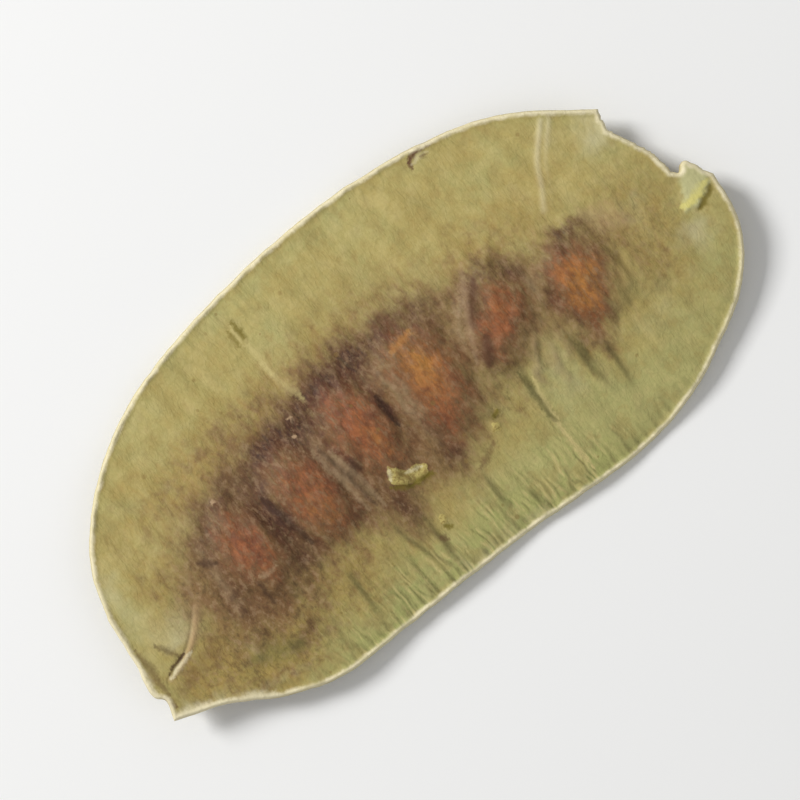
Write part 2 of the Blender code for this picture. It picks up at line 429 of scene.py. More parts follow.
def grow_nerves():
    """All the nerves of one face, as samples and their strengths."""
    places, strengths = [], []
    skip = round(NERVE_PITCH / EDGE_STEP)
    for i in range(0, len(outline), skip):
        i = (i + int(draws.integers(0, skip))) % len(outline)
        tangent = outline[(i + 1) % len(outline)] - outline[i - 1]
        inward = np.array([-tangent[1], tangent[0]]) / np.linalg.norm(tangent)
        towards_seeds = np.array([0.0, -np.sign(outline[i, 1])])
        heading = math.atan2(*(0.5 * inward + 0.5 * towards_seeds)[::-1]) + draws.normal(0.0, 0.08)
        kind = draws.choice(len(NERVE_KINDS), p=[share for share, _, _ in NERVE_KINDS])
        length = draws.uniform(*NERVE_KINDS[kind][1:])
        strength = draws.uniform(0.4, 1.0) * (FULL_SIDE_STRENGTH if outline[i, 1] > 0 else 1.0)
        strength *= 1.0 - (1.0 - END_STRENGTH) * smooth_step((abs(outline[i, 0]) - 9.0) / 4.0)
        run, fade, angles = grow_nerve(outline[i] + 0.4 * inward, heading, length, strength)
        places.append(run)
        strengths.append(fade)
        if kind > 0:
            fork = int(len(run) * FORK_SHARE)
            turn = draws.choice([-FORK_ANGLE, FORK_ANGLE])
            run, fade, _ = grow_nerve(run[fork], angles[fork] + turn, 0.5 * length, 0.7 * fade[fork])
            places.append(run)
            strengths.append(fade)
    return np.vstack(places), np.concatenate(strengths)


def nerve_field():
    """How strongly each point of the flat pattern lies on a nerve, from 0 to 1."""
    places, strengths = grow_nerves()
    distance, which = nearest(flat, places)
    return strengths[which] * bump(distance, NERVE_WIDTH)


def dark_nerve_field():
    """The same for the long dark nerves, which waver and fade at both ends."""
    waver = DARK_WAVER * np.column_stack([noise_at(flat, 1.2, 2.4, 71.0), np.zeros(len(flat))])
    field = np.zeros(len(flat))
    for start, end in DARK_NERVES:
        path = even_points(np.array([start, end]), NERVE_STEP)
        distance, which = nearest(flat + waver, path)
        fade = np.sin(math.pi * np.clip(which / (len(path) - 1), 0.02, 0.98))
        field = np.maximum(field, fade * bump(distance, DARK_NERVE_WIDTH))
    return field


# Where the short nerves are dense enough to read as stripes: along the hollow edge, not at the ends.
striped = smooth_step(1.1 - depth / 4.0 + 0.5 * noise_at(flat, 0.6, 3.0, 81.0))
striped *= smooth_step((-y - 4.5) / 2.0) * smooth_step((12.0 - abs(x + 2.0)) / 5.0)

upper_nerves = np.maximum(nerve_field(), dark_nerve_field())
lower_nerves = nerve_field()
print("points on a nerve:", int((upper_nerves > 0.3).sum()), "above and", int((lower_nerves > 0.3).sum()), "below")

# %% [markdown]
# ## Fields of damage
# Each kind of damage becomes one number at each point: 1 in the middle of it, 0 outside. The crack also needs
# to know its sides, because the skin curls up on one side of the gap and sinks on the other.

# %% Crack, crease, chip and flakes as fields
LIP_WIDTH = 0.16
GAP_WIDTH = 0.07
GAP_OFFSET = 0.24
TORN = 0.12
FLAKE_BORDER = 0.28
CHIP_BORDER = 0.55
SLIT_BORDER = 0.38


def signed_distance(points, trace):
    """Distance to a path, above 0 on its left, and how far along it the nearest place is, from 0 to 1."""
    distance, which = nearest(points, trace)
    ahead = np.clip(which + 1, 1, len(trace) - 1)
    tangent = trace[ahead] - trace[ahead - 1]
    offset = points - trace[which]
    side = np.sign(tangent[:, 0] * offset[:, 1] - tangent[:, 1] * offset[:, 0])
    return distance * side, which / (len(trace) - 1)


def patch(points, corners, border, seed):
    """1 inside a small convex patch with a torn edge, 0 outside. Its corners go against the clock."""
    corners = np.array(corners)
    edges = np.roll(corners, -1, axis=0) - corners
    outward = np.column_stack([edges[:, 1], -edges[:, 0]]) / np.linalg.norm(edges, axis=1)[:, None]
    outside = ((points[:, None] - corners) * outward).sum(axis=2).max(axis=1)
    outside += TORN * noise_at(points, 0.3, 0.3, seed, 2)
    return smooth_step(0.5 - outside / border)


crack_side, crack_along = signed_distance(flat, crack_trace)
crack_taper = np.sin(math.pi * np.clip(crack_along, 0.02, 0.98)) ** 0.5
crack_lip = crack_taper * bump(crack_side, LIP_WIDTH * (0.7 + crack_along))
crack_gap = crack_taper * bump(crack_side - GAP_OFFSET, GAP_WIDTH) * (1.0 - 0.7 * crack_along)
crease_side, crease_along = signed_distance(flat, crease_trace)
crease = bump(crease_side, 0.16) + 0.7 * bump(crease_side - 0.45, 0.14) * (1.0 - crease_along)
crease *= 1.0 - 0.5 * crease_along
chip = patch(flat, CHIP, CHIP_BORDER, 4.0)
slit = patch(flat, SLIT, SLIT_BORDER, 5.0)
flakes = np.max([patch(flat, corners, FLAKE_BORDER, 10.0) for corners in FLAKES], axis=0)
print("flaked points:", int((flakes > 0.5).sum()), "chip points:", int((chip > 0.5).sum()))

# %% [markdown]
# ## Relief
# The skin is laid over the form: long wrinkles in the margins, streaks that run across the pod, puckers
# between the seeds, and the damage. Everything fades out at the seam, so the two faces meet in one clean
# edge. A displace modifier could do this with a texture, but here each layer keeps its own named height.

# %% Heights of both faces
WRINKLE = 0.07
STREAK = 0.025
SEED_STREAK = 0.085
PUCKER = 0.09
SEED_LINE = 0.04
SEED_RIM = 0.03
SEED_DENT = 0.1
FOLD_HEIGHT = 0.1
NERVE_HEIGHT = 0.07
LIP_HEIGHT = 0.09
GAP_DEPTH = 0.07
CREASE_HEIGHT = 0.08
CHIP_HEIGHT = 0.1
SLIT_DEPTH = 0.05
FLAKE_HEIGHT = 0.09
SEAM_FADE = 0.4

# Folds between the seeds, each from one place to another.
FOLDS = [
    ((-5.1, 2.2), (-4.75, -3.4)), ((0.1, 2.4), (0.0, -3.0)),
    ((0.55, 1.6), (0.45, -1.6)), ((6.3, 2.3), (4.6, 0.0)), ((9.9, 1.2), (9.1, -1.4)),
    ((8.0, -2.4), (6.3, -4.4)), ((-13.4, 1.4), (-14.2, -2.6)), ((7.9, -3.2), (7.4, -5.6)),
    ((7.0, -3.0), (6.2, -5.2)), ((8.8, -2.8), (8.3, -4.8)),
]
FOLD_WIDTH = 0.26
FOLD_WAVER = 0.35


def fold_field():
    """How strongly each point lies on the crest of a fold between the seeds, from 0 to 1."""
    waver = FOLD_WAVER * np.column_stack([noise_at(flat, 1.1, 1.6, 61.0), noise_at(flat, 1.1, 1.6, 62.0)])
    crest = np.zeros(len(flat))
    for start, end in FOLDS:
        path = even_points(np.array([start, end]), 0.05)
        distance, which = nearest(flat + waver, path)
        taper = np.sin(math.pi * np.clip(which / (len(path) - 1), 0.04, 0.96)) ** 0.5
        crest = np.maximum(crest, taper * bump(distance, FOLD_WIDTH))
    return crest


def skin_relief(nerves, seed):
    """Relief that both faces have, each from its own noise."""
    relief = WRINKLE * noise_at(flat, 2.6, 3.4, seed)
    relief += (STREAK + SEED_STREAK * chamber) * noise_at(flat, 0.5, 1.5, seed + 1.0)
    relief += PUCKER * chamber * (1.0 - seed_swell) * noise_at(flat, 0.8, 1.9, seed + 2.0)
    relief += SEED_DENT * seed_swell * noise_at(flat, 1.0, 2.4, seed + 3.0)
    relief += FOLD_HEIGHT * folds
    relief += SEED_LINE * seed_line - SEED_RIM * seed_rim + NERVE_HEIGHT * nerves
    return relief


folds = fold_field()
upper_relief = skin_relief(upper_nerves, 20.0)
upper_relief += LIP_HEIGHT * crack_lip - GAP_DEPTH * crack_gap + CREASE_HEIGHT * crease
upper_relief += CHIP_HEIGHT * chip - SLIT_DEPTH * slit
upper_relief += FLAKE_HEIGHT * flakes * (1.0 + noise_at(flat, 0.3, 0.3, 32.0))
lower_relief = skin_relief(lower_nerves, 40.0)
fade = smooth_step(depth / SEAM_FADE)
top_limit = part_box("pod")[1].z / MM
upper_height = np.minimum(middle + half + fade * upper_relief, top_limit)
lower_height = np.maximum(middle - half - fade * lower_relief, 0.0)
print("the skin is", (upper_height - lower_height).min().round(3), "mm thick at its thinnest")

# %% [markdown]
# ## The mesh
# The upper face, the lower face and a narrow wall between their edges close into one skin. Half way up the
# wall a row of points lies a little further in, which makes the fine line where the two valves meet. The skin
# rides on the pod's body and stands for the plain CAD solid. The numbers that the colours need go along as
# attributes, one value for each vertex, which an Attribute node reads by name.

# %% One closed skin
SEAM_LINE_DEPTH = 0.05

below = len(flat)
around = len(outline)
faces = [tuple(face) for face in triangles]
faces += [(a + below, c + below, b + below) for a, b, c in triangles]
for i in range(around):
    j = (i + 1) % around
    for a, b, c, d in ((i, 2 * below + i, 2 * below + j, j), (2 * below + i, below + i, below + j, 2 * below + j)):
        faces += [(a, b, c), (a, c, d)]
seam_line = outline * (1.0 - SEAM_LINE_DEPTH / np.linalg.norm(outline, axis=1)[:, None])
seam_height = (upper_height[:around] + lower_height[:around]) / 2
vertices = np.vstack([
    np.column_stack([flat, upper_height]), np.column_stack([flat, lower_height]),
    np.column_stack([seam_line, seam_height])])
skin_mesh = bpy.data.meshes.new("pod_skin")
skin_mesh.from_pydata((vertices * MM).tolist(), [], faces)
skin_mesh.shade_smooth()
skin = bpy.data.objects.new("pod_skin", skin_mesh)
scene.collection.objects.link(skin)


def store(name, upper, lower=None, on_seam=None):
    """Keeps one number for each vertex: of the upper face, of the lower one, and of the line between them."""
    on_seam = upper[:around] if on_seam is None else on_seam
    values = np.concatenate([upper, upper if lower is None else lower, on_seam]).astype(np.float32)
    skin_mesh.attributes.new(name, "FLOAT", "POINT").data.foreach_set("value", values)


nothing = np.zeros(len(flat))
store("edge_mm", depth)
store("seam_line", nothing, nothing, np.ones(around))
store("nerve", upper_nerves, lower_nerves)
store("striped", striped)
store("seed_rim", seed_rim)
store("fold", folds)
store("lip", crack_lip, nothing)
store("gap", crack_gap, nothing)
store("crease", crease, nothing)
store("chip", chip, nothing)
store("slit", slit, nothing)
store("flake", flakes, nothing)
print("pod_skin has", len(faces), "triangles")

# %% [markdown]
# ## Stains
# The seeds have stained the skin from inside: rust in the middle of each, plum-brown round and between them,
# and darkest along the top of the row. A painter would lay these in as soft smudges, one by one, so they are
# lists of smudges here: a middle, two radii and a strength. The places are pushed about by noise that is
# stretched across the pod, so that each smudge bleeds along the fibres as a real stain does.

# %% Smudges of stain, in millimetres
BROWN = [
    (-10.6, 0.5, 4.4, 3.5, 0.8), (-6.2, 0.7, 4.0, 3.5, 0.8), (-1.7, 0.8, 4.2, 4.3, 0.8),
    (2.8, 0.8, 3.4, 3.9, 0.75), (7.2, 0.0, 2.8, 2.9, 0.75), (11.7, -1.5, 3.2, 2.8, 0.85),
    (-13.2, -1.6, 2.3, 3.2, 0.7), (-3.9, -4.4, 1.3, 2.2, 0.65), (0.0, -4.3, 1.3, 1.8, 0.6),
    (-12.2, -2.8, 2.8, 2.0, 0.65), (14.4, -2.2, 1.4, 2.0, 0.08), (10.3, -4.4, 0.9, 1.9, 0.55),
    (-7.2, -2.3, 2.4, 1.4, 0.6), (-2.4, -3.0, 3.0, 1.8, 0.6), (2.0, -3.0, 1.8, 1.6, 0.55),
    (6.2, -1.6, 1.8, 1.5, 0.55), (11.0, -3.3, 1.6, 1.6, 0.5), (-15.4, -0.4, 1.6, 1.8, 0.35),
]
PLUM = [
    (-12.9, 1.7, 1.7, 1.3, 0.55), (-10.8, 2.7, 2.1, 1.0, 0.65), (-7.4, 3.1, 1.9, 1.1, 0.9),
    (-5.3, 3.0, 1.7, 1.3, 0.95), (-2.9, 3.5, 2.0, 1.2, 0.98), (-0.7, 3.3, 1.8, 1.3, 0.95),
    (2.0, 3.4, 2.0, 1.1, 0.75), (4.4, 2.7, 1.3, 1.4, 0.6), (-9.5, -0.1, 0.9, 2.7, 0.95),
    (-8.8, 0.4, 0.5, 2.0, 0.7), (-5.6, 0.4, 0.6, 2.2, 0.7), (-4.4, -0.4, 0.5, 2.4, 0.75),
    (-0.9, 0.3, 0.5, 2.4, 0.65), (-0.82, 0.1, 0.24, 1.3, 0.95), (0.3, -1.8, 0.5, 1.6, 0.5), (3.8, 0.6, 0.8, 2.4, 0.2),
    (5.3, -1.6, 0.9, 0.9, 0.65), (6.0, 0.9, 0.7, 1.2, 0.5), (7.6, 2.2, 1.5, 0.8, 0.65),
    (9.0, 1.1, 0.7, 1.2, 0.7), (12.4, 0.3, 1.5, 0.8, 0.8), (13.8, -1.1, 0.9, 1.5, 0.28),
    (9.9, -1.6, 0.6, 1.3, 0.6), (-3.8, -4.5, 0.7, 1.5, 0.75), (0.3, -4.2, 0.85, 1.1, 0.7),
    (-13.6, -1.6, 1.4, 2.3, 0.6), (-9.4, -2.8, 1.3, 1.3, 0.6), (-5.7, -3.0, 1.1, 1.3, 0.5),
    (-16.9, -3.6, 0.55, 0.4, 0.4), (-16.1, -4.7, 0.4, 0.55, 0.4), (-14.3, -4.4, 0.55, 0.8, 0.45),
    (-13.2, -5.8, 0.7, 0.5, 0.45), (-15.5, -5.5, 0.45, 0.4, 0.35), (-17.0, 2.6, 0.45, 0.5, 0.45),
    (-11.9, -5.6, 0.8, 0.6, 0.6), (-3.6, -6.6, 0.35, 1.6, 0.5), (10.1, -5.7, 0.5, 0.7, 0.6),
    (8.9, -5.4, 0.25, 1.8, 0.5), (-2.4, -3.9, 0.8, 0.5, 0.6),
]
RUST = [
    (-11.5, -0.2, 1.35, 2.0, 0.92), (-7.0, -0.5, 1.5, 2.8, 0.85), (-2.6, 0.3, 1.45, 2.8, 0.98),
    (2.0, -0.1, 1.7, 2.7, 0.98), (6.9, -0.5, 1.4, 1.1, 0.7), (7.7, 0.2, 1.3, 1.1, 0.6),
    (5.7, -1.7, 0.8, 0.8, 0.35), (11.6, -1.6, 1.5, 1.6, 0.95), (10.9, -3.3, 0.75, 1.3, 0.7),
    (1.1, -2.4, 0.8, 1.2, 0.7),
]
AMBER = [
    (2.1, 0.8, 1.25, 1.7, 0.95), (11.7, -2.2, 1.5, 1.4, 0.95), (-2.3, -0.9, 0.6, 1.1, 0.5),
    (-7.2, -1.8, 0.9, 1.0, 0.5), (11.2, -3.1, 0.7, 0.9, 0.4), (7.4, 0.2, 0.8, 0.8, 0.3),
]
UMBER = [
    (-16.6, -4.2, 3.0, 2.3, 0.8), (-8.2, -7.0, 2.0, 1.2, 0.35), (-12.5, -5.2, 3.4, 2.6, 0.7), (-15.8, 1.0, 1.6, 1.9, 0.5),
    (16.6, -1.4, 2.6, 3.4, 0.42), (9.0, 2.8, 4.0, 1.8, 0.5), (-3.0, 5.0, 7.5, 1.5, 0.55), (-8.6, 4.4, 4.6, 1.3, 0.45),
    (-11.5, 4.8, 4.2, 2.2, 0.5), (-8.0, -4.6, 4.0, 1.6, 0.4), (-18.2, -3.7, 1.3, 1.0, 0.6),
    (-15.0, -6.0, 1.4, 0.8, 0.5), (-16.8, 2.6, 1.0, 1.4, 0.3), (15.4, -3.8, 1.2, 1.2, 0.25), (-14.2, -5.4, 1.6, 1.2, 0.5),
    (-18.2, -3.4, 0.7, 0.6, 0.6), (-16.2, -3.6, 0.5, 1.2, 0.5), (16.2, -5.0, 1.6, 1.2, 0.2),
    (9.3, -4.6, 0.9, 1.4, 0.45), (4.6, -4.4, 0.8, 1.6, 0.4), (-12.6, -6.8, 1.2, 0.8, 0.4),
]
SAGE = [
    (-7.0, -9.0, 7.0, 2.2, 0.9), (2.0, -9.6, 8.0, 2.4, 0.85), (10.0, -9.0, 7.0, 3.0, 0.9),
    (7.0, -5.0, 2.2, 2.4, 0.5), (18.2, -6.0, 2.0, 3.0, 0.6), (-15.4, 6.0, 2.6, 1.6, 0.5),
    (-18.6, 1.4, 1.3, 2.4, 0.7), (0.0, 10.2, 12.0, 0.7, 0.5), (12.6, 6.0, 3.2, 1.9, 0.55),
    (17.6, 1.4, 1.3, 2.4, 0.5), (-2.0, 7.4, 2.4, 1.4, 0.35), (-11.6, -8.2, 3.0, 1.2, 0.6),
]
# Pale bloom on the skin, partly painted sheen.
BLOOM_AND_SHEEN = [
    (17.6, 3.3, 1.1, 1.1, 0.75), (17.9, -4.4, 1.2, 1.0, 0.6), (15.4, 4.6, 0.7, 1.3, 0.3),
    (-18.6, 2.8, 1.0, 1.9, 0.6), (-20.2, -4.4, 0.7, 0.4, 0.9), (-18.6, -5.3, 1.2, 0.4, 0.6),
    (-17.4, -0.6, 1.6, 1.1, 0.5), (-15.2, 0.4, 1.0, 0.5, 0.3), (12.6, 3.2, 0.6, 1.0, 0.3),
    (7.3, -5.2, 1.2, 2.0, 0.3), (-1.2, -6.6, 1.8, 0.8, 0.25), (-16.8, -6.4, 1.4, 0.4, 0.5),
    (12.8, -6.0, 2.0, 1.3, 0.25), (16.2, -1.5, 1.2, 1.4, 0.4), (-18.4, 0.6, 1.0, 1.3, 0.35), (-15.0, -4.4, 0.4, 1.0, 0.3),
    (-17.9, -1.2, 0.9, 0.5, 0.5), (-17.8, -3.0, 0.3, 0.9, 0.3), (-14.2, -6.9, 1.6, 0.4, 0.4),
    (-9.6, -8.9, 3.0, 0.5, 0.3), (-2.8, -9.4, 2.0, 0.55, 0.45), (1.6, -9.8, 1.6, 0.5, 0.35),
]
BLEED_ACROSS = 0.4
BLEED_ALONG = 0.55


def smudged(smudges, seed):
    """How much of a stain is at each point, from 0 to 1, where its smudges overlap softly."""
    bled_x = x + BLEED_ACROSS * noise_at(flat, 0.8, 1.4, seed)
    bled_y = y + BLEED_ALONG * noise_at(flat, 0.6, 1.5, seed + 0.5)
    clear = np.ones(len(flat))
    for middle_x, middle_y, radius_x, radius_y, strength in smudges:
        reach = np.hypot((bled_x - middle_x) / radius_x, (bled_y - middle_y) / radius_y)
        clear *= 1.0 - strength * bump(reach, 1.0)
    return 1.0 - clear


for name, smudges, seed in (
    ("brown", BROWN, 48.0), ("plum", PLUM, 50.0), ("rust", RUST, 52.0),
    ("amber", AMBER, 54.0), ("umber", UMBER, 56.0), ("sage", SAGE, 58.0), ("bloom_and_sheen", BLOOM_AND_SHEEN, 60.0),
):
    store(name, smudged(smudges, seed), smudged(smudges, seed + 10.0))
    print(name, "is laid in with", len(smudges), "smudges")

# %% [markdown]
# ## Working with nodes
# A material is a small network of nodes. Writing each node and each link out in full would hide what the
# network does, so a few helpers place a node, do a sum or mix two colours, and hand back the socket that the
# next step reads.

# %% Helpers for nodes


def place(tree, kind, inputs=None, **settings):
    """Adds a node. inputs fills its sockets, by name or number, with a value or another node's output."""
    node = tree.nodes.new("ShaderNode" + kind)
    for key, value in settings.items():
        setattr(node, key, value)
    for key, value in (inputs or {}).items():
        if isinstance(value, bpy.types.NodeSocket):
            tree.links.new(value, node.inputs[key])
        else:
            node.inputs[key].default_value = value
    return node


def calc(tree, operation, a, b=0.0, c=0.0, clamp=False):
    """A Math node's result."""
    return place(tree, "Math", {0: a, 1: b, 2: c}, operation=operation, use_clamp=clamp).outputs[0]


def vector_calc(tree, operation, a, b=(0.0, 0.0, 0.0), output=0):
    """A Vector Math node's result."""
    return place(tree, "VectorMath", {0: a, 1: b}, operation=operation).outputs[output]


def blend(tree, amount, below, above, kind="MIX"):
    """One colour laid over another by an amount."""
    return place(tree, "Mix", {0: amount, 6: below, 7: above}, data_type="RGBA", blend_type=kind).outputs[2]


def rise(tree, value, start, end, low=0.0, high=1.0):
    """A soft rise from low to high as value goes from start to end."""
    inputs = {"Value": value, "From Min": start, "From Max": end, "To Min": low, "To Max": high}
    return place(tree, "MapRange", inputs, interpolation_type="SMOOTHSTEP").outputs[0]


def attribute(tree, name):
    """One of the numbers that the mesh keeps for each vertex."""
    return place(tree, "Attribute", attribute_name=name).outputs["Fac"]


def srgb(red, green, blue):
    """A colour as a paint program gives it, turned into the linear values that a shader needs."""
    shares = [channel / 255 for channel in (red, green, blue)]
    return (*[s / 12.92 if s <= 0.04045 else ((s + 0.055) / 1.055) ** 2.4 for s in shares], 1.0)


def new_group(name, inputs, outputs):
    """An empty node group with these sockets, and the nodes that stand for them inside it."""
    group = bpy.data.node_groups.new(name, "ShaderNodeTree")
    for label, kind, default in inputs:
        socket = group.interface.new_socket(label, in_out="INPUT", socket_type="NodeSocket" + kind)
        socket.default_value = default
    for label in outputs:
        group.interface.new_socket(label, in_out="OUTPUT", socket_type="NodeSocketFloat")
    return group, group.nodes.new("NodeGroupInput").outputs, group.nodes.new("NodeGroupOutput").inputs


def use_group(tree, group, inputs):
    """Places a node group and hands back its outputs."""
    node = tree.nodes.new("ShaderNodeGroup")
    node.node_tree = group
    for key, value in inputs.items():
        if isinstance(value, bpy.types.NodeSocket):
            tree.links.new(value, node.inputs[key])
        else:
            node.inputs[key].default_value = value
    return node.outputs


# %% [markdown]
# ## Effects that both valves share
# The upper and the lower valve are the same husk with different damage. So the effects are node groups, built
# once: fibre streaks, a mottle, a net of the finest nerves, dark specks, and a brush stroke between two
# places. Each valve places them with its own values. A group's sockets are made on its interface.

# %% Fibre streaks and mottle
ORIGIN = (0.0, 0.0, 0.0)


def fibre_group():
    """Streaks that run across the pod, as its fibres do."""
    group, given, out = new_group("fibre_streaks", [
        ("Place", "Vector", ORIGIN), ("Pitch", "Float", 0.4), ("Stretch", "Float", 4.0),
        ("Contrast", "Float", 0.2), ("Detail", "Float", 3.0)], ["Streak"])
    tall = calc(group, "MULTIPLY", given["Pitch"], given["Stretch"])
    size = place(group, "CombineXYZ", {"X": given["Pitch"], "Y": tall, "Z": tall}).outputs[0]
    cloud = place(group, "TexNoise", {
        "Vector": vector_calc(group, "DIVIDE", given["Place"], size), "Scale": 1.0, "Detail": given["Detail"],
        "Roughness": 0.62})
    low = calc(group, "SUBTRACT", 0.5, given["Contrast"])
    high = calc(group, "ADD", 0.5, given["Contrast"])
    group.links.new(rise(group, cloud.outputs["Fac"], low, high), out["Streak"])
    return group


def mottle_group():
    """Soft even blobs."""
    group, given, out = new_group("paper_mottle", [
        ("Place", "Vector", ORIGIN), ("Pitch", "Float", 1.0), ("Contrast", "Float", 0.2),
        ("Detail", "Float", 3.0)], ["Mottle"])
    scale = calc(group, "DIVIDE", 1.0, given["Pitch"])
    cloud = place(group, "TexNoise", {
        "Vector": given["Place"], "Scale": scale, "Detail": given["Detail"], "Roughness": 0.62})
    low = calc(group, "SUBTRACT", 0.5, given["Contrast"])
    high = calc(group, "ADD", 0.5, given["Contrast"])
    group.links.new(rise(group, cloud.outputs["Fac"], low, high), out["Mottle"])
    return group


def stripe_group():
    """Even wavering stripes across the pod, from 0 to 1 and back over each pitch."""
    group, given, out = new_group("nerve_stripes", [
        ("Place", "Vector", ORIGIN), ("Pitch", "Float", 0.36), ("Waver", "Float", 0.3)], ["Stripe"])
    size = place(group, "CombineXYZ", {"X": 1.0, "Y": 2.6, "Z": 2.6}).outputs[0]
    cloud = place(group, "TexNoise", {
        "Vector": vector_calc(group, "DIVIDE", given["Place"], size), "Scale": 1.0, "Detail": 2.0})
    sway = calc(group, "MULTIPLY", calc(group, "SUBTRACT", cloud.outputs["Fac"], 0.5), given["Waver"])
    along_pod = place(group, "SeparateXYZ", {0: given["Place"]}).outputs["X"]
    turn = calc(group, "DIVIDE", calc(group, "MULTIPLY_ADD", sway, 4.0, along_pod), given["Pitch"])
    wave = calc(group, "SINE", calc(group, "MULTIPLY", turn, 2 * math.pi))
    group.links.new(calc(group, "MULTIPLY_ADD", wave, 0.5, 0.5), out["Stripe"])
    return group


FIBRES = fibre_group()
MOTTLE = mottle_group()
STRIPES = stripe_group()

# %% [markdown]
# A net of fine nerves is hard to draw but easy to find: the places where smooth noise passes its own middle
# value form long thin lines. Stretching the noise across the pod makes those lines run as real nerves do. A
# few straighter cells from a Voronoi texture tie them together.

# %% Net of the finest nerves


def net_group():
    """Thin wandering lines, 1 on a line and 0 between them."""
    group, given, out = new_group("nerve_net", [
        ("Place", "Vector", ORIGIN), ("Pitch", "Float", 0.8), ("Stretch", "Float", 2.6),
        ("Line", "Float", 0.035)], ["Net"])
    tall = calc(group, "MULTIPLY", given["Pitch"], given["Stretch"])
    size = place(group, "CombineXYZ", {"X": given["Pitch"], "Y": tall, "Z": tall}).outputs[0]
    stretched = vector_calc(group, "DIVIDE", given["Place"], size)
    cloud = place(group, "TexNoise", {"Vector": stretched, "Scale": 1.0, "Detail": 2.0, "Roughness": 0.5})
    from_middle = calc(group, "ABSOLUTE", calc(group, "SUBTRACT", cloud.outputs["Fac"], 0.5))
    lines = rise(group, from_middle, 0.0, given["Line"], 1.0, 0.0)
    cells = place(group, "TexVoronoi", {"Vector": stretched, "Scale": 1.3}, feature="DISTANCE_TO_EDGE")
    ties = rise(group, cells.outputs["Distance"], 0.0, calc(group, "MULTIPLY", given["Line"], 1.6), 0.7, 0.0)
    group.links.new(calc(group, "MAXIMUM", lines, ties), out["Net"])
    return group


def speck_group():
    """Small specks in some cells of a Voronoi texture, 1 on a speck."""
    group, given, out = new_group("specks", [
        ("Place", "Vector", ORIGIN), ("Pitch", "Float", 1.5), ("Size", "Float", 0.12),
        ("Share", "Float", 0.3)], ["Speck"])
    scale = calc(group, "DIVIDE", 1.0, given["Pitch"])
    cells = place(group, "TexVoronoi", {"Vector": given["Place"], "Scale": scale})
    chance = place(group, "SeparateColor", {0: cells.outputs["Color"]}).outputs
    size = calc(group, "MULTIPLY", given["Size"], calc(group, "ADD", chance["Green"], 0.4))
    dot = rise(group, cells.outputs["Distance"], calc(group, "MULTIPLY", size, 0.5), size, 1.0, 0.0)
    chosen = calc(group, "LESS_THAN", chance["Red"], given["Share"])
    group.links.new(calc(group, "MULTIPLY", dot, chosen), out["Speck"])
    return group


NET = net_group()
SPECKS = speck_group()

# %% [markdown]
# A single mark, such as a scratch or the bite of an insect, is a brush stroke. For each point the stroke
# finds the nearest place on the line between its two ends. Within half the stroke's width of it there is
# paint. The material pushes the places about with noise first, so no stroke comes out straight.

# %% A brush stroke
THINNING = 0.5
FRAYING = 0.16


def stroke_group():
    """Paint along the line between two places, 1 on the line, thinner at both ends."""
    group, given, out = new_group("brush_stroke", [
        ("Place", "Vector", ORIGIN), ("From", "Vector", ORIGIN), ("To", "Vector", (1.0, 0.0, 0.0)),
        ("Width", "Float", 0.2), ("Fraying", "Float", 0.0), ("Strength", "Float", 1.0)], ["Paint"])
    line = vector_calc(group, "SUBTRACT", given["To"], given["From"])
    square = vector_calc(group, "DOT_PRODUCT", line, line, output=1)
    scale = vector_calc(group, "DIVIDE", line, square)
    start = vector_calc(group, "DOT_PRODUCT", given["From"], scale, output=1)
    along_line = vector_calc(group, "DOT_PRODUCT", given["Place"], scale, output=1)
    share = calc(group, "SUBTRACT", along_line, start, clamp=True)
    foot = place(group, "VectorMath", {0: line, 1: share, 2: given["From"]}, operation="MULTIPLY_ADD").outputs[0]
    distance = vector_calc(group, "DISTANCE", given["Place"], foot, output=1)
    frayed = calc(group, "ADD", distance, given["Fraying"])
    from_middle = calc(group, "MULTIPLY_ADD", share, 2.0, -1.0)
    thinner = calc(group, "MULTIPLY", given["Width"], -THINNING)
    outer = calc(group, "MULTIPLY_ADD", calc(group, "MULTIPLY", from_middle, from_middle), thinner, given["Width"])
    group.links.new(rise(group, frayed, 0.0, outer, given["Strength"], 0.0), out["Paint"])
    return group


STROKE = stroke_group()
print("node groups:", [group.name for group in bpy.data.node_groups])

# %% [markdown]
# ## Colours and strokes
# The husk is tan over most of the full wing and sage green near the hollow edge. The names below are a
# maker's words for what each colour does. The strokes are the marks that only this pod has: an insect's bite
# under the upper seam, two olive dashes, a pale thread below them, and dark nerves under the seeds. A few
# strokes are painted light: painted highlights and painted shadow on the crack and the flakes, painted shade
# inside the stalk-end seam, and a painted reflection and painted glints on the seeds.

# %% Colours
TAN = srgb(179, 160, 95)
STRAW = srgb(200, 184, 124)
OCHRE = srgb(164, 138, 78)
OCHRE_PALE = srgb(188, 160, 84)
SAGE_GREEN = srgb(178, 174, 112)
LEAF_GREEN = srgb(158, 166, 96)
MOSS = srgb(104, 108, 58)
UMBER_BROWN = srgb(134, 108, 58)
HALO_BROWN = srgb(122, 87, 57)
# Ash brown for pale bands, and for painted highlights on the folds and the raised streaks.
ASH_BROWN_AND_HIGHLIGHT = srgb(158, 134, 102)
# Pale for the grains and the marks, and for painted glints on the seed stain.
ASH_PALE_AND_GLINT = srgb(180, 150, 116)
PLUM_BROWN = srgb(88, 56, 38)
DEEP_PLUM = srgb(54, 35, 27)
RUST_BROWN = srgb(116, 74, 50)
RUST_DARK = srgb(98, 54, 42)
RUST_RED = srgb(134, 74, 48)
RUST_ORANGE = srgb(168, 100, 60)
AMBER_ORANGE = srgb(190, 130, 60)
# Pale for the bloom, partly painted sheen.
PALE_BLOOM_AND_SHEEN = srgb(202, 194, 152)
CREAM_PALE = srgb(230, 219, 182)
FLAKE_STRAW = srgb(190, 173, 104)
CHIP_YELLOW = srgb(214, 204, 122)
CHIP_SAGE = srgb(200, 198, 148)
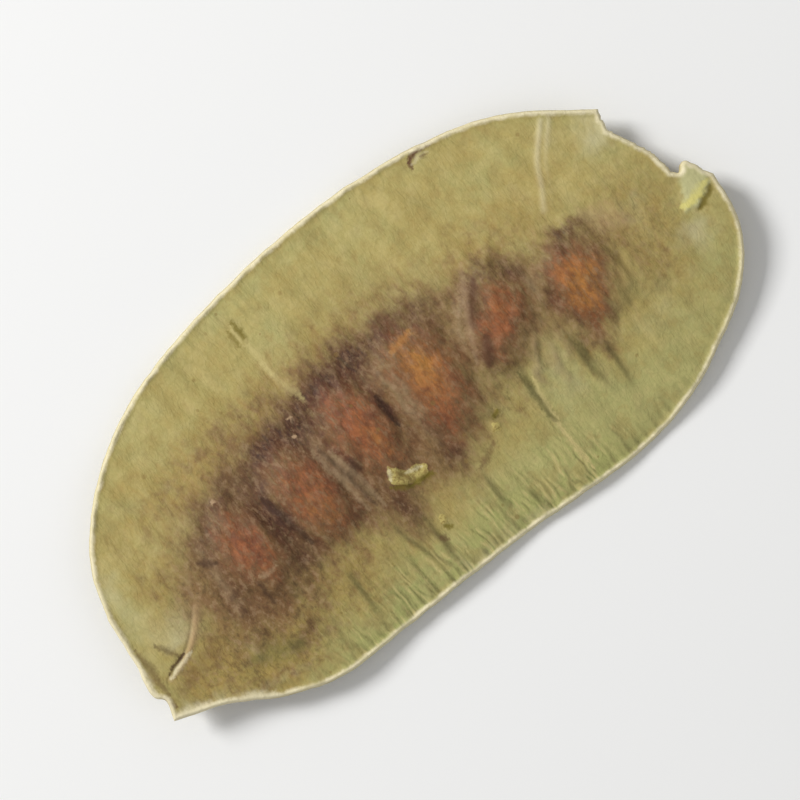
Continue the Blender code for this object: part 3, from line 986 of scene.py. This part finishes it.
# Olive for the slit and the dashes, and for painted shadow under the flakes.
OLIVE_MARK_AND_SHADOW = srgb(118, 104, 34)
NERVE_OLIVE = srgb(92, 86, 48)
# Brown for the bite and the small marks, and for painted shade inside the stalk-end seam.
BITE_BROWN_AND_SHADE = srgb(96, 62, 42)
# Dark for the painted shadow in the crack, and for the V-shaped mark beside it.
CRACK_SHADOW_AND_MARK = srgb(78, 56, 34)
CRACK_PINK = srgb(190, 156, 116)

# %% Strokes: from, to, width, colour, strength
UPPER_STROKES = [
    ((9.1, 8.8), (9.35, 9.35), 0.3, BITE_BROWN_AND_SHADE, 0.75),
    ((9.15, 9.2), (10.0, 9.45), 0.36, BITE_BROWN_AND_SHADE, 0.95),
    ((9.7, 9.45), (10.75, 9.15), 0.36, BITE_BROWN_AND_SHADE, 0.9),
    ((9.3, 9.0), (10.3, 8.95), 0.26, CREAM_PALE, 0.3),
    ((9.8, 8.95), (10.2, 8.8), 0.25, BITE_BROWN_AND_SHADE, 0.6),
    ((-4.35, 9.1), (-4.45, 8.2), 0.3, OLIVE_MARK_AND_SHADOW, 0.6),
    ((-3.8, 9.5), (-3.95, 8.0), 0.34, OLIVE_MARK_AND_SHADOW, 0.85),
    ((-4.05, 9.3), (-4.2, 8.0), 0.18, STRAW, 0.6),
    ((-3.95, 8.2), (-4.2, 5.8), 0.4, STRAW, 0.55),
    ((-4.2, 6.6), (-3.85, 3.6), 0.42, STRAW, 0.5),
    ((6.1, -3.9), (5.6, -6.6), 0.22, STRAW, 0.8),
    ((5.4, -6.3), (5.2, -9.9), 0.24, STRAW, 0.95),
    # A painted highlight along the crack's curled lip, and painted shadow in the crack beside it.
    ((-19.4, -2.65), (-17.6, -2.25), 0.28, CREAM_PALE, 0.6),
    ((-19.2, -2.38), (-18.0, -2.05), 0.24, CRACK_SHADOW_AND_MARK, 0.9),
    ((-18.75, -0.8), (-18.25, -2.1), 0.36, CRACK_SHADOW_AND_MARK, 0.55),
    ((-19.7, 2.8), (-20.3, -1.4), 0.46, CREAM_PALE, 0.8),
    ((-20.1, 0.3), (-20.6, -3.0), 0.46, CREAM_PALE, 0.85),
    # Painted shade inside the seam at the stalk end.
    ((-19.65, -0.2), (-20.05, -3.1), 0.36, BITE_BROWN_AND_SHADE, 0.5),
    ((-20.35, -3.1), (-20.15, -3.9), 0.38, BITE_BROWN_AND_SHADE, 0.6),
    ((-20.9, -4.25), (-18.4, -5.3), 0.68, CREAM_PALE, 0.8),
    ((-19.8, -4.7), (-15.8, -7.0), 0.6, CREAM_PALE, 0.7),
    # The flakes: painted highlights on their upper edges, an olive vein, and painted shadow below them.
    ((-3.3, -2.8), (-2.95, -2.25), 0.22, CREAM_PALE, 0.5),
    ((-2.5, -3.15), (-1.6, -3.4), 0.24, CREAM_PALE, 0.5),
    ((-2.75, -2.7), (-2.55, -3.7), 0.23, UMBER_BROWN, 0.7),
    ((-2.7, -3.9), (-1.4, -4.15), 0.4, OLIVE_MARK_AND_SHADOW, 0.9),
    ((-3.6, -3.1), (-2.75, -3.9), 0.29, OLIVE_MARK_AND_SHADOW, 0.7),
    ((-2.85, -6.85), (-2.6, -7.0), 0.38, OLIVE_MARK_AND_SHADOW, 0.85),
    ((-3.5, -7.0), (-3.2, -7.3), 0.3, BITE_BROWN_AND_SHADE, 0.6),
    ((0.7, -5.75), (2.2, -5.05), 0.36, BITE_BROWN_AND_SHADE, 0.45),
    ((3.0, -4.2), (3.55, -3.95), 0.28, OLIVE_MARK_AND_SHADOW, 0.8),
    ((-0.85, 1.1), (-1.0, -1.0), 0.33, DEEP_PLUM, 0.75),
    ((-4.2, -0.4), (-4.05, -1.2), 0.6, DEEP_PLUM, 0.6),
    ((-9.1, 1.4), (-8.7, -2.4), 0.42, DEEP_PLUM, 0.6),
    ((-12.3, -2.2), (-12.45, -3.5), 0.34, DEEP_PLUM, 0.5),
    ((-14.1, 0.9), (-13.3, 0.3), 0.44, DEEP_PLUM, 0.55),
    ((-5.1, 1.2), (-4.85, -3.2), 0.3, DEEP_PLUM, 0.45),
    ((-5.45, 1.2), (-5.25, -3.2), 0.32, ASH_BROWN_AND_HIGHLIGHT, 0.5),
    ((-4.7, 0.6), (-4.45, -3.6), 0.32, ASH_BROWN_AND_HIGHLIGHT, 0.5),
    ((-12.1, -1.85), (-11.0, -1.95), 0.24, ASH_PALE_AND_GLINT, 0.45),
    # A painted reflection on the fourth seed, and three painted glints on the stain.
    ((1.3, 2.2), (2.9, 2.3), 0.4, AMBER_ORANGE, 0.4),
    ((-5.2, 3.35), (-5.05, 3.3), 0.24, ASH_PALE_AND_GLINT, 0.8),
    ((-11.3, 2.95), (-11.15, 2.85), 0.26, ASH_PALE_AND_GLINT, 0.8),
    ((-5.65, 2.45), (-5.5, 2.4), 0.22, ASH_PALE_AND_GLINT, 0.8),
    ((5.75, -3.3), (5.4, -6.6), 0.3, NERVE_OLIVE, 0.6),
    ((14.2, 0.6), (15.6, -1.2), 1.4, ASH_PALE_AND_GLINT, 0.3),
    ((4.9, -1.9), (5.8, -0.6), 0.7, PLUM_BROWN, 0.7),
    ((5.6, 0.2), (7.3, 2.1), 0.55, PLUM_BROWN, 0.7),
    ((4.3, -1.4), (7.4, 3.2), 0.4, ASH_PALE_AND_GLINT, 0.3),
    ((6.0, -1.4), (7.9, 0.9), 0.7, RUST_ORANGE, 0.3),
    ((14.3, -2.4), (12.4, -4.8), 1.1, TAN, 0.4),
    ((-18.9, -3.5), (-15.7, -2.8), 1.1, UMBER_BROWN, 0.4),
    ((-15.4, -5.0), (-13.0, -6.0), 1.3, MOSS, 0.4),
    ((18.2, -2.85), (19.4, -2.9), 0.42, CHIP_YELLOW, 0.9),
    ((18.6, -3.0), (20.3, -2.5), 0.4, CHIP_YELLOW, 0.8),
]
LOWER_STROKES = [
    ((-6.2, 7.5), (-5.9, 9.4), 0.2, MOSS, 0.6),
    ((3.1, -5.2), (3.4, -8.6), 0.19, MOSS, 0.6),
    ((11.9, 4.1), (13.2, 5.6), 0.26, CREAM_PALE, 0.5),
]

# %% [markdown]
# ## The husk
# The colour is built as the plant built it: green-tan skin, then the stains that soak through it, then the
# nerves, then the damage and the worn pale seam on top. Some layers are painted light, not the skin's own
# colour: painted highlights on the fold crests and raised streaks, painted sheen in part of the bloom, and
# painted shade in the crack's gap and inside the seam. Where a stain meets clean skin, the fibre streaks are
# added to the stain before it is cut off, so its border is feathered along the fibres. The roughness and a
# very fine bump follow the same streaks, which keeps the gloss from sliding over the skin like varnish.

# %% Material of one valve
STROKE_WAVER = 0.5


def stained(tree, name, streak, start, end, feather=0.2):
    """A stain's mask, with a border that follows the fibres."""
    pulled = calc(tree, "MULTIPLY_ADD", calc(tree, "SUBTRACT", streak, 0.5), feather, attribute(tree, name))
    return rise(tree, pulled, start, end)


def painted(tree, spot, colour, grain, strokes):
    """The strokes laid over a colour, wavering and frayed."""
    cloud = place(tree, "TexNoise", {"Vector": spot, "Scale": 0.8, "Detail": 2.0}).outputs["Color"]
    centred = vector_calc(tree, "SUBTRACT", cloud, (0.5, 0.5, 0.5))
    push = vector_calc(tree, "MULTIPLY", centred, (STROKE_WAVER, STROKE_WAVER, STROKE_WAVER))
    wavering = vector_calc(tree, "MULTIPLY", vector_calc(tree, "ADD", spot, push), (1.0, 1.0, 0.0))
    fraying = calc(tree, "MULTIPLY", calc(tree, "SUBTRACT", grain, 0.5), FRAYING)
    for start, end, width, paint, strength in strokes:
        mark = use_group(tree, STROKE, {
            "Place": wavering, "From": (*start, 0.0), "To": (*end, 0.0),
            "Width": width, "Fraying": fraying, "Strength": strength})["Paint"]
        colour = blend(tree, mark, colour, paint)
    return colour


def husk_colour(tree, spot, wide, cloudy, grainy):
    """Clean skin: tan and sage in soft patches, straw where it is worn, brown towards the ends, bloom and painted
    sheen.
    """
    patches = use_group(tree, MOTTLE, {"Place": spot, "Pitch": 1.2})["Mottle"]
    sage = stained(tree, "sage", cloudy, 0.1, 0.9, 0.3)
    colour = blend(tree, calc(tree, "MULTIPLY", cloudy, 0.5), TAN, SAGE_GREEN)
    colour = blend(tree, sage, colour, SAGE_GREEN)
    colour = blend(tree, rise(tree, patches, 0.5, 1.0, 0.0, 0.35), colour, STRAW)
    colour = blend(tree, rise(tree, patches, 0.0, 0.5, 0.35, 0.0), colour, OCHRE)
    umber = stained(tree, "umber", wide, 0.05, 0.95, 0.3)
    colour = blend(tree, calc(tree, "MULTIPLY", umber, 0.75), colour, UMBER_BROWN)
    veins = use_group(tree, NET, {"Place": spot, "Pitch": 1.1, "Stretch": 1.2, "Line": 0.07})["Net"]
    veins = calc(tree, "MULTIPLY", veins, calc(tree, "MULTIPLY", umber, 0.6))
    colour = blend(tree, veins, colour, HALO_BROWN)
    clouds = use_group(tree, MOTTLE, {"Place": spot, "Pitch": 0.9, "Contrast": 0.3})["Mottle"]
    lit = calc(tree, "MULTIPLY", clouds, calc(tree, "MULTIPLY_ADD", umber, 0.6, 0.08))
    colour = blend(tree, lit, colour, OCHRE_PALE)
    sunk = calc(tree, "MULTIPLY", rise(tree, clouds, 0.6, 0.0), calc(tree, "MULTIPLY_ADD", umber, 0.5, 0.12))
    colour = blend(tree, sunk, colour, HALO_BROWN)
    dim = calc(tree, "MULTIPLY", calc(tree, "SUBTRACT", 1.0, wide), calc(tree, "MULTIPLY_ADD", sage, 0.04, 0.14))
    colour = blend(tree, dim, colour, MOSS)
    stripes = use_group(tree, STRIPES, {"Place": spot, "Pitch": 0.4, "Waver": 0.32})["Stripe"]
    striped = calc(tree, "MULTIPLY", attribute(tree, "striped"), rise(tree, wide, 0.3, 0.75, 0.1, 1.0))
    leafy = calc(tree, "MULTIPLY", rise(tree, patches, 0.3, 0.8, 0.0, 0.6), attribute(tree, "striped"))
    colour = blend(tree, leafy, colour, LEAF_GREEN)
    dark_lines = calc(tree, "MULTIPLY", rise(tree, stripes, 0.55, 1.0, 0.0, 0.55), striped)
    colour = blend(tree, dark_lines, colour, NERVE_OLIVE)
    pale_lines = calc(tree, "MULTIPLY", rise(tree, stripes, 0.5, 0.0, 0.0, 0.75), striped)
    colour = blend(tree, pale_lines, colour, STRAW)
    # Pale bloom on the skin, partly painted sheen.
    bloom_and_sheen = calc(tree, "MULTIPLY", stained(tree, "bloom_and_sheen", cloudy, 0.05, 1.0, 0.3), 0.8)
    colour = blend(tree, bloom_and_sheen, colour, PALE_BLOOM_AND_SHEEN)
    return blend(tree, calc(tree, "MULTIPLY", grainy, 0.16), colour, STRAW)


def stain_colour(tree, colour, spot, wide, fine, grainy):
    """The seeds' stains over the skin: a brown halo, plum round the seeds, rust over them, painted highlights on the
    folds.
    """
    halo = stained(tree, "brown", wide, 0.02, 0.88, 0.18)
    colour = blend(tree, calc(tree, "MULTIPLY", halo, 0.9), colour, HALO_BROWN)
    rim = calc(tree, "MULTIPLY_ADD", attribute(tree, "seed_rim"), 0.08, attribute(tree, "plum"))
    rim = calc(tree, "MULTIPLY_ADD", calc(tree, "SUBTRACT", wide, 0.5), 0.16, rim)
    rim = calc(tree, "MULTIPLY_ADD", calc(tree, "SUBTRACT", grainy, 0.5), 0.2, rim)
    plum = rise(tree, rim, 0.1, 1.0)
    colour = blend(tree, calc(tree, "MULTIPLY", plum, 0.92), colour, PLUM_BROWN)
    deep = rise(tree, calc(tree, "MULTIPLY_ADD", calc(tree, "SUBTRACT", fine, 0.5), 0.4, rim), 0.75, 1.3)
    colour = blend(tree, calc(tree, "MULTIPLY", deep, 0.85), colour, DEEP_PLUM)
    warm = stained(tree, "rust", wide, 0.05, 0.5, 0.3)
    colour = blend(tree, calc(tree, "MULTIPLY", warm, 0.5), colour, RUST_BROWN)
    blotch = use_group(tree, MOTTLE, {"Place": spot, "Pitch": 0.7, "Contrast": 0.3})["Mottle"]
    mixed = calc(tree, "MULTIPLY_ADD", fine, 0.4, calc(tree, "MULTIPLY", blotch, 0.6))
    rust = blend(tree, rise(tree, mixed, 0.2, 0.8), RUST_RED, RUST_ORANGE)
    rust = blend(tree, attribute(tree, "amber"), rust, AMBER_ORANGE)
    rust = blend(tree, rise(tree, wide, 0.1, 0.6, 0.45, 0.0), rust, RUST_DARK)
    rust = blend(tree, rise(tree, blotch, 0.45, 0.1, 0.0, 0.4), rust, RUST_DARK)
    rusty = stained(tree, "rust", fine, 0.2, 1.0, 0.3)
    colour = blend(tree, calc(tree, "MULTIPLY", rusty, 0.78), colour, rust)
    # A painted highlight on the crests of the folds between the seeds.
    crest = calc(tree, "MULTIPLY", rise(tree, wide, 0.0, 1.0, 0.6, 0.25), attribute(tree, "fold"))
    colour = blend(tree, crest, colour, ASH_BROWN_AND_HIGHLIGHT)
    # A painted highlight on the raised fibre streaks within the halo.
    return blend(tree, calc(tree, "MULTIPLY", rise(tree, fine, 0.3, 0.0, 0.0, 0.15), halo), colour, ASH_BROWN_AND_HIGHLIGHT)


def speckled(tree, colour, spot):
    """Dark pits and pale grains, as wide as a fibre bundle, over the stains and the brown ends."""
    flecks = use_group(tree, FIBRES, {"Place": spot, "Pitch": 0.32, "Stretch": 1.5, "Contrast": 0.2})["Streak"]
    across = place(tree, "SeparateXYZ", {"Vector": spot}).outputs["Y"]
    umber = calc(tree, "MULTIPLY", attribute(tree, "umber"), rise(tree, across, 0.0, 3.0, 0.9, 0.2))
    reach = calc(tree, "ADD", umber, attribute(tree, "brown"), clamp=True)
    reach = calc(tree, "MULTIPLY", reach, calc(tree, "MULTIPLY_ADD", attribute(tree, "rust"), -0.55, 1.0))
    pits = calc(tree, "MULTIPLY", rise(tree, flecks, 0.42, 0.0, 0.0, 0.35), reach)
    colour = blend(tree, pits, colour, DEEP_PLUM)
    grains = calc(tree, "MULTIPLY", rise(tree, flecks, 0.56, 1.0, 0.0, 0.34), reach)
    return blend(tree, grains, colour, ASH_PALE_AND_GLINT)


def valve_colour(tree, spot):
    """The valve's colour, and the streak, net and grain masks that its bump uses too."""
    wide = use_group(tree, FIBRES, {"Place": spot, "Pitch": 0.5, "Stretch": 2.2, "Contrast": 0.26})["Streak"]
    fine = use_group(tree, FIBRES, {"Place": spot, "Pitch": 0.16, "Stretch": 3.0, "Detail": 2.0})["Streak"]
    cloudy = use_group(tree, MOTTLE, {"Place": spot, "Pitch": 2.8, "Detail": 4.0})["Mottle"]
    grainy = use_group(tree, MOTTLE, {"Place": spot, "Pitch": 0.2, "Contrast": 0.28, "Detail": 2.0})["Mottle"]
    net = use_group(tree, NET, {"Place": spot})["Net"]
    colour = husk_colour(tree, spot, wide, cloudy, grainy)
    colour = stain_colour(tree, colour, spot, wide, fine, grainy)
    colour = speckled(tree, colour, spot)
    colour = blend(tree, calc(tree, "MULTIPLY", net, 0.1), colour, MOSS)
    colour = blend(tree, calc(tree, "MULTIPLY", attribute(tree, "nerve"), 0.72), colour, NERVE_OLIVE)
    specks = use_group(tree, SPECKS, {"Place": spot, "Pitch": 1.1, "Size": 0.15, "Share": 0.35})
    colour = blend(tree, calc(tree, "MULTIPLY", specks["Speck"], 0.5), colour, UMBER_BROWN)
    return colour, wide, fine, net, grainy


def damage_colour(tree, colour, grainy):
    """The crack, the crease, the flakes and the chip, laid over the valve's colour."""
    colour = blend(tree, calc(tree, "MULTIPLY", attribute(tree, "crease"), 0.5), colour, CREAM_PALE)
    colour = blend(tree, calc(tree, "MULTIPLY", attribute(tree, "lip"), 0.62), colour, CRACK_PINK)
    # The gap's dark colour is painted shadow beside the curled lip.
    colour = blend(tree, calc(tree, "MULTIPLY", attribute(tree, "gap"), 0.7), colour, CRACK_SHADOW_AND_MARK)
    flake = rise(tree, calc(tree, "MULTIPLY_ADD", grainy, 0.3, attribute(tree, "flake")), 0.5, 0.8)
    skin_under = blend(tree, rise(tree, grainy, 0.3, 0.9, 0.0, 0.7), FLAKE_STRAW, UMBER_BROWN)
    colour = blend(tree, flake, colour, skin_under)
    colour = blend(tree, rise(tree, attribute(tree, "chip"), 0.0, 1.0, 0.0, 0.75), colour, CHIP_SAGE)
    return blend(tree, rise(tree, attribute(tree, "slit"), 0.0, 1.0, 0.0, 0.85), colour, OLIVE_MARK_AND_SHADOW)


def seam_colour(tree, colour, spot):
    """The worn pale seam along the edge, a faint green painted shade in the groove inside it, and the line where the
    valves meet.
    """
    edge = attribute(tree, "edge_mm")
    uneven = use_group(tree, MOTTLE, {"Place": spot, "Pitch": 0.6})["Mottle"]
    edge = calc(tree, "MULTIPLY_ADD", uneven, 0.08, edge)
    # A faint painted shade in the groove just inside the seam's bead.
    shade = calc(tree, "MULTIPLY", rise(tree, edge, 0.3, 0.5), rise(tree, edge, 0.6, 1.3, 1.0, 0.0))
    colour = blend(tree, calc(tree, "MULTIPLY", shade, 0.05), colour, MOSS)
    pale = calc(tree, "MULTIPLY", rise(tree, edge, 0.2, 0.44, 1.0, 0.0), rise(tree, uneven, 0.0, 0.8, 1.0, 0.72))
    pale = calc(tree, "MULTIPLY", pale, rise(tree, edge, 0.02, 0.13, 0.35, 1.0))
    colour = blend(tree, pale, colour, CREAM_PALE)
    line = calc(tree, "MULTIPLY", attribute(tree, "seam_line"), rise(tree, uneven, 0.0, 1.0, 0.3, 0.9))
    return blend(tree, line, colour, HALO_BROWN)


def valve_skin(name, strokes):
    """The dry husk of one valve."""
    material = bpy.data.materials.new(name)
    material.use_nodes = True
    tree = material.node_tree
    shader = tree.nodes["Principled BSDF"]
    metres = place(tree, "TexCoord").outputs["Object"]
    spot = vector_calc(tree, "MULTIPLY", metres, (1 / MM, 1 / MM, 1 / MM))
    colour, wide, fine, net, grainy = valve_colour(tree, spot)
    colour = damage_colour(tree, colour, grainy)
    colour = painted(tree, spot, colour, grainy, strokes)
    colour = seam_colour(tree, colour, spot)
    tree.links.new(colour, shader.inputs["Base Color"])
    roughness = calc(tree, "MULTIPLY_ADD", wide, 0.14, 0.56)
    roughness = calc(tree, "MULTIPLY_ADD", attribute(tree, "flake"), 0.2, roughness)
    tree.links.new(roughness, shader.inputs["Roughness"])
    height = calc(tree, "MULTIPLY_ADD", fine, -0.5, calc(tree, "MULTIPLY", net, 0.25))
    height = calc(tree, "MULTIPLY_ADD", wide, -0.8, height)
    height = calc(tree, "MULTIPLY_ADD", grainy, 0.3, height)
    bump_node = place(tree, "Bump", {"Height": height, "Strength": 0.6, "Distance": 0.04 * MM})
    tree.links.new(bump_node.outputs[0], shader.inputs["Normal"])
    shader.inputs["Specular IOR Level"].default_value = 0.25
    return material


upper_valve = valve_skin("upper_valve", UPPER_STROKES)
lower_valve = valve_skin("lower_valve", LOWER_STROKES)
skin_mesh.materials.append(upper_valve)
skin_mesh.materials.append(lower_valve)
on_lower = np.zeros(len(faces), np.int32)
on_lower[len(triangles):2 * len(triangles)] = 1
skin_mesh.polygons.foreach_set("material_index", on_lower)
skin_mesh.update()
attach(skin, "root")
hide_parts("pod")
print("upper valve has", len(upper_valve.node_tree.nodes), "nodes")

# %% [markdown]
# ## Table and light
# The pod lies on a plain pale table under soft studio light. One large lamp high on the left gives the
# relief its shape, a weaker one opposite opens the shadows, and a white world fills in the rest. Large lamps
# close by make soft shadows, which suit something this thin.

# %% The table
TABLE_SIZE = 1.2
TABLE_DROP = 0.02 * MM
TABLE_WHITE = (0.93, 0.93, 0.92, 1.0)


def make_table():
    half_size = TABLE_SIZE / 2
    corners = [(-half_size, -half_size), (half_size, -half_size), (half_size, half_size), (-half_size, half_size)]
    mesh = bpy.data.meshes.new("table")
    mesh.from_pydata([(cx, cy, -TABLE_DROP) for cx, cy in corners], [], [(0, 1, 2, 3)])
    material = bpy.data.materials.new("pale_table")
    material.use_nodes = True
    shader = material.node_tree.nodes["Principled BSDF"]
    shader.inputs["Base Color"].default_value = TABLE_WHITE
    shader.inputs["Roughness"].default_value = 0.9
    shader.inputs["Specular IOR Level"].default_value = 0.1
    mesh.materials.append(material)
    table = bpy.data.objects.new("table", mesh)
    scene.collection.objects.link(table)


make_table()

# %% Lamps and world
KEY_POWER = 1.52
FILL_POWER = 0.2
WORLD_STRENGTH = 0.36


def softbox(name, angle_degrees, rise_degrees, distance, size, power):
    """A square lamp that faces the pod. The angle is counted from the picture's right, against the clock."""
    around = math.radians(angle_degrees - LEAN_DEGREES)
    up = math.radians(rise_degrees)
    direction = Vector((math.cos(around) * math.cos(up), math.sin(around) * math.cos(up), math.sin(up)))
    data = bpy.data.lights.new(name, "AREA")
    data.shape = "SQUARE"
    data.size = size
    data.energy = power
    lamp = bpy.data.objects.new(name, data)
    lamp.location = direction * distance
    lamp.rotation_euler = (-direction).to_track_quat("-Z", "Y").to_euler()
    scene.collection.objects.link(lamp)


softbox("key_softbox", 160.0, 38.0, 0.42, 0.13, KEY_POWER)
softbox("fill_softbox", -20.0, 40.0, 0.5, 0.35, FILL_POWER)
world = bpy.data.worlds.new("white_room")
world.use_nodes = True
world.node_tree.nodes["Background"].inputs["Color"].default_value = (1.0, 1.0, 1.0, 1.0)
world.node_tree.nodes["Background"].inputs["Strength"].default_value = WORLD_STRENGTH
scene.world = world
scene.view_settings.view_transform = "Standard"
